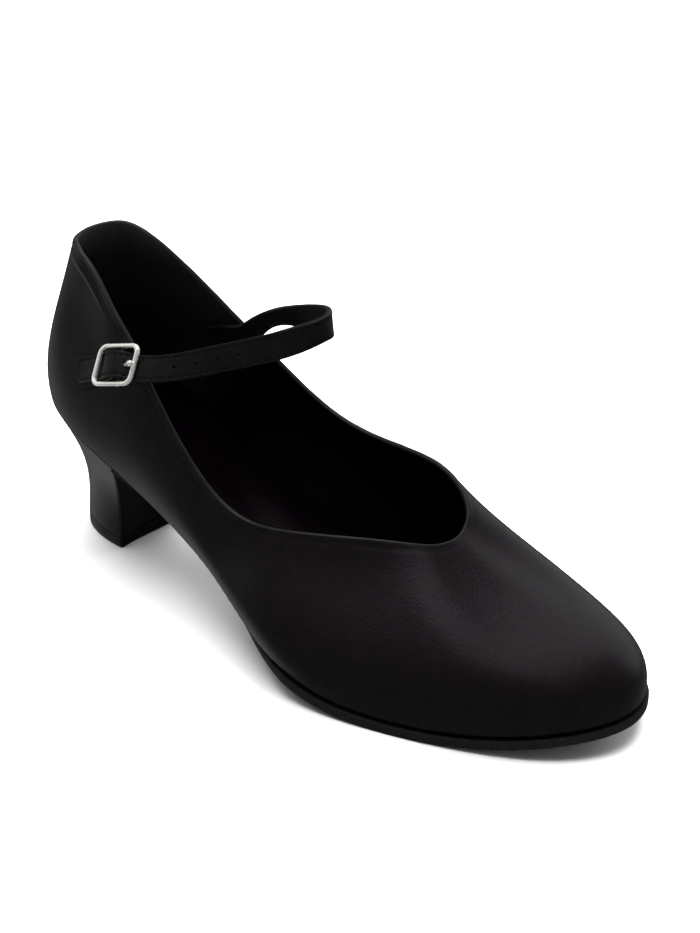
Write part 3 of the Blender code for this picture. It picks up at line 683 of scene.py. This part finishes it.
def build_insole():
    share_half = np.linspace(0, 0.5, 150)
    across = (1 - np.cos(np.linspace(0, math.pi, 33))) / 2
    inset = np.full_like(share_half, -(WALL + INSOLE_SIDE_GAP))
    plan = ribs(share_half, inset, across)
    width = np.linalg.norm(plan[:, -1] - plan[:, 0], axis=1)[:, None]
    edge = np.minimum(across, 1 - across)[None, :] * width
    x, y = plan[..., 0], plan[..., 1]
    base = sole_height(x) + GAP / 2
    drape = 0.16 * np.sin(x * 0.21 + np.sin(y * 0.16) * 1.3) + 0.12 * np.sin(y * 0.33 + x * 0.05)
    soft = ramp(edge, 0.5, 7.0)
    round_off = INSOLE_EDGE_DROP * (1 - ramp(edge, 0.0, INSOLE_EDGE))
    top = base + INSOLE_THICK - round_off + drape * soft * INSOLE_WAVES
    upper_face = np.stack([x, y, top], -1)
    lower_face = np.stack([x, y, base], -1)
    rows, cols = plan.shape[:2]
    faces = grid_faces(rows, cols) + [f[::-1] for f in grid_faces(rows, cols, rows * cols)]
    shift = rows * cols
    for j in range(rows - 1):
        for i in (0, cols - 1):
            a, b = j * cols + i, (j + 1) * cols + i
            faces.append((a, b, b + shift, a + shift))
    points = np.concatenate([upper_face.reshape(-1, 3), lower_face.reshape(-1, 3)])
    return mesh_object("insole_sock", points, faces, (SOCK,), None, 60)


def build_outsole():
    near, far = share_at_breast(-1), share_at_breast(1)
    side = SOLE_COLUMNS // 2
    share = np.concatenate([np.linspace(near, 0.5, side), np.linspace(0.5, far, side)[1:]])
    out = np.interp(columns_at(share)[:, 0], *zip(*SOLE_EDGE))

    def ring(out_by, drop):
        plan = foot_line(share, out_by)
        for end in (0, -1):
            plan[end, 0] = BREAST_TOP[0] + BREAST_TOP[1] * plan[end, 1] + GAP
        top = sole_height(plan[:, 0]) - GAP / 2
        thick = sole_thickness(plan[:, 0])
        z = np.maximum(top - drop * thick, 0.0)
        for end in (0, -1):
            plan[end, 0] -= SOLE_END_SLOPE * drop * thick[end]
        return np.column_stack([plan, z])

    rings = [ring(out - inset, drop) for inset, drop in SOLE_SECTION]
    count = len(share)
    faces = ring_faces(len(rings), count, False)
    slots = [0] * len(faces)
    for start in (0, (len(rings) - 1) * count):
        for i in range(count // 2):
            j = count - 1 - i
            cap = tuple(start + p for p in dict.fromkeys((i, i + 1, j - 1, j)))
            if len(cap) > 2:
                faces.append(cap)
                slots.append(1)
    return mesh_object("outsole_edge", np.concatenate(rings), faces,
                       (SOLE_EDGE_LOOK, SOLE_BASE_LOOK), slots, 50)


# Heel


def rounded(ring, corners, reach, steps=6):
    """Replaces corner points of a closed ring by small arcs."""
    out = []
    count = len(ring)
    for i, p in enumerate(ring):
        if i not in corners:
            out.append(p)
            continue
        back, ahead = ring[(i - 1) % count] - p, ring[(i + 1) % count] - p
        start, end = p + unit(back) * reach, p + unit(ahead) * reach
        for t in np.linspace(0, 1, steps):
            out.append(start * (1 - t) ** 2 + p * 2 * t * (1 - t) + end * t ** 2)
    return np.array(out)


def heel_outlines():
    """Closed outlines of the heel at the seat and at its base, breast included."""
    near, far = share_at_breast(-1), share_at_breast(1)
    share = np.concatenate([np.linspace(near, 0, SIDE_POINTS),
                            1 - np.linspace(0, 1 - far, SIDE_POINTS)[1:]])
    seat = foot_line(np.mod(share, 1), np.full(len(share), -SEAT_INSET))
    turn = np.linspace(0, math.pi, len(share))
    y = -BASE_HALF * np.cos(turn)
    x = BASE_FRONT - (BASE_FRONT - BASE_BACK) * np.sin(turn) + BASE_SKEW * y
    base = np.column_stack([x, y + ORIGIN[1]])
    across = np.linspace(1, 0, 12)[1:-1]
    rings = []
    for plan, bow, corner in ((seat, 0.0, SEAT_CORNER), (base, BREAST_HOLLOW, BREAST_CORNER)):
        bridge = [plan[0] * (1 - a) + plan[-1] * a - np.array([bow * math.sin(math.pi * a) * 1.15, 0])
                  for a in across]
        rings.append(rounded(np.vstack([plan, bridge]), (0, len(plan) - 1), corner))
    return rings


def inward(plan, by):
    """A closed plan ring drawn in by a distance."""
    tangent = unit(np.roll(plan, -1, 0) - np.roll(plan, 1, 0))
    normal = np.column_stack([tangent[:, 1], -tangent[:, 0]])
    if np.mean(np.sum(normal * (plan - plan.mean(0)), axis=1)) < 0:
        normal = -normal
    return plan - normal * by


def breast_slots(faces, count):
    """Material slot of each face: 1 on the breast, whose darker cover is painted shade, 0 elsewhere.
    """
    column = np.arange(faces) % count
    return ((column >= count - BREAST_LAST) | (column < BREAST_FIRST)).astype(int)


def build_heel():
    seat, base = heel_outlines()
    seat_z = sole_height(seat[:, 0]) - GAP / 2
    groove_at, _ = zip(*SEAT_GROOVE)
    base_at, _ = zip(*BASE_ROUND)
    levels = np.concatenate([groove_at, np.linspace(0.045, 0.985, HEEL_ROWS), base_at])
    insets = np.interp(levels, *zip(*SEAT_GROOVE, *BASE_ROUND))
    count = len(seat)
    place = np.arange(count)
    beside = stretch(place, *GROOVE_DEEPENS, *(count - back for back in GROOVE_EASES))
    rings = []
    for level, inset in zip(levels, insets):
        plan = seat + (base - seat) * cubic(*zip(*HEEL_TAPER), np.array(level))
        z = seat_z * (1 - level) + (TIP_HEIGHT + GAP * 0.2) * level
        drawn_in = (min(inset, SHALLOW_GROOVE) * (1 - beside) + inset * beside)[:, None]
        rings.append(np.column_stack([inward(plan, drawn_in), z]))
    faces = capped_faces(len(rings), count)
    slots = breast_slots(len(faces), count)
    # Painted shade: the groove under the seat takes the breast's darker cover, a dark line along the
    # crease.
    slots[:count] = 1
    return mesh_object("heel_block", np.concatenate(rings), faces,
                       (HEEL_COVER, SHADED_HEEL_COVER), slots, 50)


def build_heel_tip():
    _, base = heel_outlines()
    count = len(base)
    rings = [np.column_stack([inward(base, inset), np.full(count, z)]) for inset, z in TIP_SECTION]
    faces = capped_faces(len(rings), count)
    return mesh_object("heel_top_piece", np.concatenate(rings), faces,
                       (TIP_RUBBER, SHADED_TIP_FRONT), breast_slots(len(faces), count), 40)


# Strap and buckle


def buckle_axes():
    along = unit(BUCKLE_ALONG)
    across = unit(np.asarray(BUCKLE_ACROSS) - along * np.dot(BUCKLE_ACROSS, along))
    return along, across, np.cross(along, across)


def buckle_point(s, w, n):
    along, across, off = buckle_axes()
    return np.asarray(BUCKLE_AT) + along * s + across * w + off * n


def wall_across(share, height, along):
    side = unit(np.cross(outward(np.array(share), np.array(height)), along))
    return side if side[2] > 0 else -side


def strap_line():
    """Centre line and across directions of the strap, tip first."""
    along, across, _ = buckle_axes()
    centre = [wall_point(*STRAP_TIP)]
    turn = [wall_across(STRAP_TIP[0], STRAP_TIP[1], along)]
    for s, w, n in STRAP_IN_BUCKLE:
        centre.append(buckle_point(s, w, n))
        turn.append(across)
    for x, y, z, *w in STRAP_LOOP:
        centre.append(np.array([x, y, z]))
        turn.append(unit(w))
    inside = [wall_point(*place) for place in STRAP_END]
    for place, p in zip(STRAP_END, inside):
        centre.append(p)
        turn.append(wall_across(place[0], place[1], inside[-1] - inside[0]))
    return np.array(centre), np.array(turn)


def tab_line():
    along, across, _ = buckle_axes()
    centre = [wall_point(*place) for place in TAB_ON_WALL]
    turn = [wall_across(share, height, along) for share, height, _ in TAB_ON_WALL]
    bend = PIVOT_RADIUS + GAP + TAB_THICK / 2
    for deg in (135, 100, 60, 20, -20, -60, -95):
        a = math.radians(deg)
        centre.append(buckle_point(bend * math.cos(a), 0, bend * math.sin(a) - PIVOT_DROP))
        turn.append(across)
    return np.array(centre), np.array(turn)


class Band:
    """A strip's running frame: place, along, across and outward at any distance from its start."""

    def __init__(self, centre, turn, widths):
        self.knots = running_length(centre)
        self.centre, self.turn, self.widths = centre, turn, widths
        self.length = self.knots[-1]

    def frame(self, at):
        at = np.asarray(at, float)
        line = cubic(self.knots, self.centre, at)
        tangent = unit(cubic(self.knots, self.centre, at + 0.05)
                       - cubic(self.knots, self.centre, at - 0.05))
        side = cubic(self.knots, self.turn, at)
        side = unit(side - tangent * np.sum(side * tangent, axis=-1, keepdims=True))
        half = np.interp(at / self.length, *zip(*self.widths)) / 2
        return line, tangent, side, np.cross(tangent, side), half

    def point(self, at, across, off):
        line, _, side, face, _ = self.frame(at)
        return line + side * np.asarray(across)[..., None] + face * np.asarray(off)[..., None]


# First point of a strip's section on its inner face, and the first one past it
SECTION_INSIDE = (31, 44)


def strip_section(half, thick, groove):
    """Closed section of a strip: outer face with stitch grooves, rounded edges, flat inner face."""
    b = thick / 2
    r = min(STRIP_ROUND, b * 0.8)
    wide = half - r

    def corner(side, level, first):
        return [(side * wide + r * math.sin(a), level * (b - r) + r * math.cos(a))
                for a in np.linspace(first, first + math.pi / 2, 5)[1:]]

    outer = [(w, b - groove * bell(abs(w), half - STITCH_INSET, STITCH_GROOVE_WIDTH))
             for w in np.linspace(-wide, wide, 26)]
    inner = [(w, -b) for w in np.linspace(wide, -wide, 8)[1:]]
    return np.array(outer + corner(1, 1, 0) + corner(1, -1, math.pi / 2) + inner
                    + corner(-1, -1, math.pi) + corner(-1, 1, 1.5 * math.pi)[:-1]).T


def strip_mesh(name, band, thick, steps, groove=0.0, plain_end=0.0):
    """A leather strip along a band, with a duller inner face and a dull stretch at its end."""
    at = np.linspace(0, band.length, steps)
    line, _, side, face, half = band.frame(at)
    rings = []
    for i in range(steps):
        across, off = strip_section(half[i], thick, groove)
        rings.append(line[i] + np.outer(across, side[i]) + np.outer(off, face[i]))
    count = len(rings[0])
    slots = [2 if at[k] > band.length - plain_end else int(SECTION_INSIDE[0] <= i < SECTION_INSIDE[1])
             for k in range(steps - 1) for i in range(count)]
    return mesh_object(name, np.concatenate(rings), capped_faces(steps, count),
                       (STRAP_LEATHER, STRAP_INSIDE, STRAP_HIDDEN), slots + [0, 0], 60)


def rod(name, start, end, radius, sides):
    """Plain round bar, used to cut holes and as the frame's middle bar."""
    start, end = Vector(placed(start)[0]), Vector(placed(end)[0])
    shape = bmesh.new()
    way = end - start
    turn = way.to_track_quat("Z", "Y").to_matrix().to_4x4()
    bmesh.ops.create_cone(shape, cap_ends=True, segments=sides, radius1=radius * MM,
                          radius2=radius * MM, depth=way.length,
                          matrix=Matrix.Translation((start + end) / 2) @ turn)
    mesh = bpy.data.meshes.new(name)
    shape.to_mesh(mesh)
    shape.free()
    mesh.materials.append(THREAD)
    obj = bpy.data.objects.new(name, mesh)
    bpy.context.scene.collection.objects.link(obj)
    return obj


def cut(obj, cutters, sharp=50):
    """Cuts holes for good and drops the cutters."""
    for cutter in cutters:
        mod = obj.modifiers.new("cut", "BOOLEAN")
        mod.operation = "DIFFERENCE"
        mod.solver = "EXACT"
        mod.object = cutter
        mod.material_mode = "TRANSFER"
    depsgraph = bpy.context.evaluated_depsgraph_get()
    done = bpy.data.meshes.new_from_object(obj.evaluated_get(depsgraph))
    obj.modifiers.clear()
    obj.data = done
    shape = bmesh.new()
    shape.from_mesh(done)
    shade(shape, sharp)
    shape.to_mesh(done)
    shape.free()
    for cutter in cutters:
        bpy.data.objects.remove(cutter, do_unlink=True)


def prong_axis():
    front = (BUCKLE_LENGTH - BAR) / 2
    return (buckle_point(PRONG_START, 0, -PIVOT_DROP + PRONG_RISE),
            buckle_point(front - PRONG_SHORT, 0, BAR / 2 + GAP + PRONG_LIFT))


def build_strap():
    centre, turn = strap_line()
    band = Band(centre, turn, STRAP_WIDTHS)
    strap = strip_mesh("instep_strap", band, STRAP_THICK, STRAP_STEPS, STITCH_GROOVE, STRAP_PLAIN_END)
    low, high = prong_axis()
    way = unit(high - low)
    cutters = [rod("cut_prong", low + way * 1.5, high - way * 0.2, HOLE_RADIUS, 24)]
    middle = band.knots[1 + [row[0] for row in STRAP_IN_BUCKLE].index(0.0)]
    for k, s in enumerate(SPARE_HOLES):
        line, _, _, face, _ = band.frame(middle + s)
        cutters.append(rod(f"cut_{k}", line - face * 3, line + face * 3, SPARE_HOLE_RADIUS, 20))
    cut(strap, cutters)
    keep(strap, "strap_leather", "strap")
    return band


def stitch_points(start, end, up, radius):
    """One thread stitch as a bent capsule: rings of points and its faces."""
    sides, steps = 8, 7
    along = unit(end - start)
    side = unit(np.cross(along, up))
    rings = []
    for t in np.linspace(0, 1, steps):
        arch = math.sin(math.pi * t)
        width = radius * (0.45 + 0.55 * min(1.0, arch * 2.2))
        middle = start + (end - start) * t + up * (arch ** 0.6 - 1) * radius * 1.4
        rings.append([middle + side * math.cos(a) * width + up * math.sin(a) * width
                      for a in np.linspace(0, 2 * math.pi, sides, endpoint=False)])
    return np.concatenate(rings), capped_faces(steps, sides)


def stitch_runs(band):
    """Start, end and outward direction of every thread on the strap."""
    runs = []
    lift = STRAP_THICK / 2 + 0.02
    last = band.length - STITCH_STOP
    for side in (-1, 1):
        at = STITCH_INSET
        while at + STITCH_LENGTH < last:
            ends = []
            for s in (at, at + STITCH_LENGTH):
                half = band.frame(s)[4]
                ends.append(band.point(s, side * (half - STITCH_INSET), lift))
            runs.append((*ends, band.frame(at)[3]))
            at += STITCH_PITCH
    half = band.frame(0.0)[4]
    across = np.linspace(-(half - STITCH_INSET), half - STITCH_INSET, 4)
    for a, b in zip(across[:-1], across[1:]):
        trim = (abs(b - a) - STITCH_LENGTH) / 2
        ends = [band.point(STITCH_INSET, w, lift) for w in (a + trim, b - trim)]
        runs.append((*ends, band.frame(STITCH_INSET)[3]))
    return runs


def build_stitches(band):
    points, faces, start = [], [], 0
    for a, b, up in stitch_runs(band):
        got, own = stitch_points(a, b, up, STITCH_RADIUS)
        points.append(got)
        faces += [tuple(start + p for p in face) for face in own]
        start += len(got)
    threads = mesh_object("strap_stitches", np.concatenate(points), faces, (THREAD,), None, 80)
    return keep(threads, "strap_leather")


def build_tab():
    centre, turn = tab_line()
    tab = strip_mesh("buckle_tab_leather", Band(centre, turn, TAB_WIDTHS), TAB_THICK, TAB_STEPS)
    cut(tab, [rod("cut_slot", buckle_point(PIVOT_RADIUS, -PRONG_SLOT / 2, -PIVOT_DROP),
                  buckle_point(PIVOT_RADIUS, PRONG_SLOT / 2, -PIVOT_DROP), SLOT_RADIUS, 24)])
    return keep(tab, "tab_leather", "buckle_tab")


def build_frame():
    """Polished frame of one rounded section, with its middle bar and end posts in dark metal as
    painted shade.
    """
    along, across, off = buckle_axes()
    half_l, half_h = (BUCKLE_LENGTH - BAR) / 2, (BUCKLE_HEIGHT - BAR) / 2
    section = [(BAR / 2 * math.copysign(abs(math.cos(a)) ** 0.7, math.cos(a)),
                BAR / 2 * math.copysign(abs(math.sin(a)) ** 0.7, math.sin(a)))
               for a in np.linspace(0, 2 * math.pi, 20, endpoint=False)]
    path = []
    for qs, qw, first in ((1, 1, 0), (-1, 1, 90), (-1, -1, 180), (1, -1, 270)):
        for a in np.radians(np.linspace(first, first + 90, 9)):
            out = along * math.cos(a) + across * math.sin(a)
            middle = buckle_point(qs * (half_l - BAR_CORNER), qw * (half_h - BAR_CORNER), 0)
            height = qw * (half_h - BAR_CORNER) + BAR_CORNER * math.sin(a)
            path.append((middle + out * BAR_CORNER + along * FRAME_SKEW * height / half_h, out))
    points = [p + out * a + off * b for p, out in path for a, b in section]
    faces = ring_faces(len(path), len(section), True)
    obj = mesh_object("buckle_frame_metal", np.array(points), faces, (NICKEL,), None, 60)
    bars = [rod("bar", buckle_point(0, -half_h, -PIVOT_DROP), buckle_point(0, half_h, -PIVOT_DROP),
                PIVOT_RADIUS, 20)]
    bars += [rod("post", buckle_point(0, w, -PIVOT_DROP - PIVOT_RADIUS), buckle_point(0, w, 0),
                 PIVOT_RADIUS, 20) for w in (-half_h, half_h)]
    # The bars take the dark metal, painted shade under the strap.
    obj.data.materials.append(SHADED_BAR_METAL)
    shape = bmesh.new()
    shape.from_mesh(obj.data)
    frame_faces = len(shape.faces)
    for bar in bars:
        shape.from_mesh(bar.data)
        bpy.data.objects.remove(bar, do_unlink=True)
    shape.faces.ensure_lookup_table()
    for face in shape.faces[frame_faces:]:
        face.material_index = 1
    shade(shape, 50)
    shape.to_mesh(obj.data)
    shape.free()
    return keep(obj, "buckle_metal", "buckle_frame")


def build_prong():
    """Pin through the strap, with its eye round the middle bar."""
    along, across, off = buckle_axes()
    low, high = prong_axis()
    way = unit(high - low)
    lift = np.cross(way, across)
    length = np.linalg.norm(high - low)
    turn = np.linspace(0, 2 * math.pi, 20, endpoint=False)
    circle = np.outer(np.cos(turn), across) + np.outer(np.sin(turn), lift)
    rings = [low + way * length * s + circle * r for s, r in PRONG_PROFILE]
    faces = capped_faces(len(rings), len(turn))
    pin = np.concatenate(rings)
    inner, outer, half = PIVOT_RADIUS + GAP, PRONG_EYE, PRONG_EYE_WIDTH / 2
    middle, r = (inner + outer) / 2, (outer - inner) / 2
    eye = []
    for a in np.linspace(0, 2 * math.pi, 32, endpoint=False):
        out = along * math.cos(a) + off * math.sin(a)
        for b in np.linspace(0, 2 * math.pi, 12, endpoint=False):
            eye.append(buckle_point(0, 0, -PIVOT_DROP) + out * (middle + r * math.cos(b))
                       + across * half * math.sin(b))
    faces += [tuple(len(pin) + p for p in face) for face in ring_faces(32, 12, True)]
    obj = mesh_object("buckle_prong_metal", np.concatenate([pin, eye]), faces, (NICKEL,), None, 60)
    return keep(obj, "prong_metal", "buckle_prong")


# Studio


def area_light(name, place, aim, size, power, glossy):
    data = bpy.data.lights.new(name, "AREA")
    data.shape = "RECTANGLE"
    data.size, data.size_y = size
    data.energy = power
    lamp = bpy.data.objects.new(name, data)
    lamp.location = place
    lamp.rotation_mode = "QUATERNION"
    lamp.rotation_quaternion = (Vector(aim) - Vector(place)).to_track_quat("-Z", "Y")
    lamp.visible_camera = False
    lamp.visible_glossy = glossy
    bpy.context.scene.collection.objects.link(lamp)


def build_floor():
    """Pale paper that neither shades the lamp below it nor shows in the shoe's reflections."""
    mesh = bpy.data.meshes.new("floor")
    corners = [(x * FLOOR_REACH, y * FLOOR_REACH, 0) for x, y in ((-1, -1), (1, -1), (1, 1), (-1, 1))]
    mesh.from_pydata(corners, [], [(0, 1, 2, 3)])
    floor = bpy.data.objects.new("floor", mesh)
    bpy.context.scene.collection.objects.link(floor)
    made, nodes, links, shader, where = new_material("floor_paper", (0.9, 0.9, 0.9), 0.85, 0.1)
    bump(nodes, links, shader, ((noise(nodes, links, where, 400.0, 2.0), 0.0001, 0.1),))
    mesh.materials.append(made)
    floor.visible_glossy = False
    floor.visible_shadow = False


def build_light():
    world = bpy.data.worlds.new("studio")
    world.use_nodes = True
    world.node_tree.nodes["Background"].inputs["Color"].default_value = (1, 1, 1, 1)
    world.node_tree.nodes["Background"].inputs["Strength"].default_value = WORLD_LIGHT
    bpy.context.scene.world = world
    for name, lamp in LAMPS.items():
        area_light(name, *lamp)


def build_camera():
    data = bpy.data.cameras.new("camera")
    data.sensor_width = 36.0
    data.lens = CAMERA_LENS
    data.clip_start, data.clip_end = 0.01, 50.0
    data.dof.use_dof = False
    camera = bpy.data.objects.new("camera", data)
    turn = Matrix((CAMERA_RIGHT, CAMERA_UP, CAMERA_BACK)).transposed().to_4x4()
    camera.matrix_world = Matrix.Translation(CAMERA_PLACE) @ turn
    bpy.context.scene.collection.objects.link(camera)
    bpy.context.scene.camera = camera


def main():
    build_camera()
    build_floor()
    build_light()
    keep(build_upper(), "upper_leather", "upper")
    keep(build_insole(), "insole_lining", "insole")
    keep(build_outsole(), "sole_edge", "outsole")
    keep(build_heel(), "heel_cover", "heel")
    keep(build_heel_tip(), "heel_tip_rubber", "heel_tip")
    build_stitches(build_strap())
    build_tab()
    build_frame()
    build_prong()
    bpy.context.scene.view_settings.view_transform = "Standard"


main()
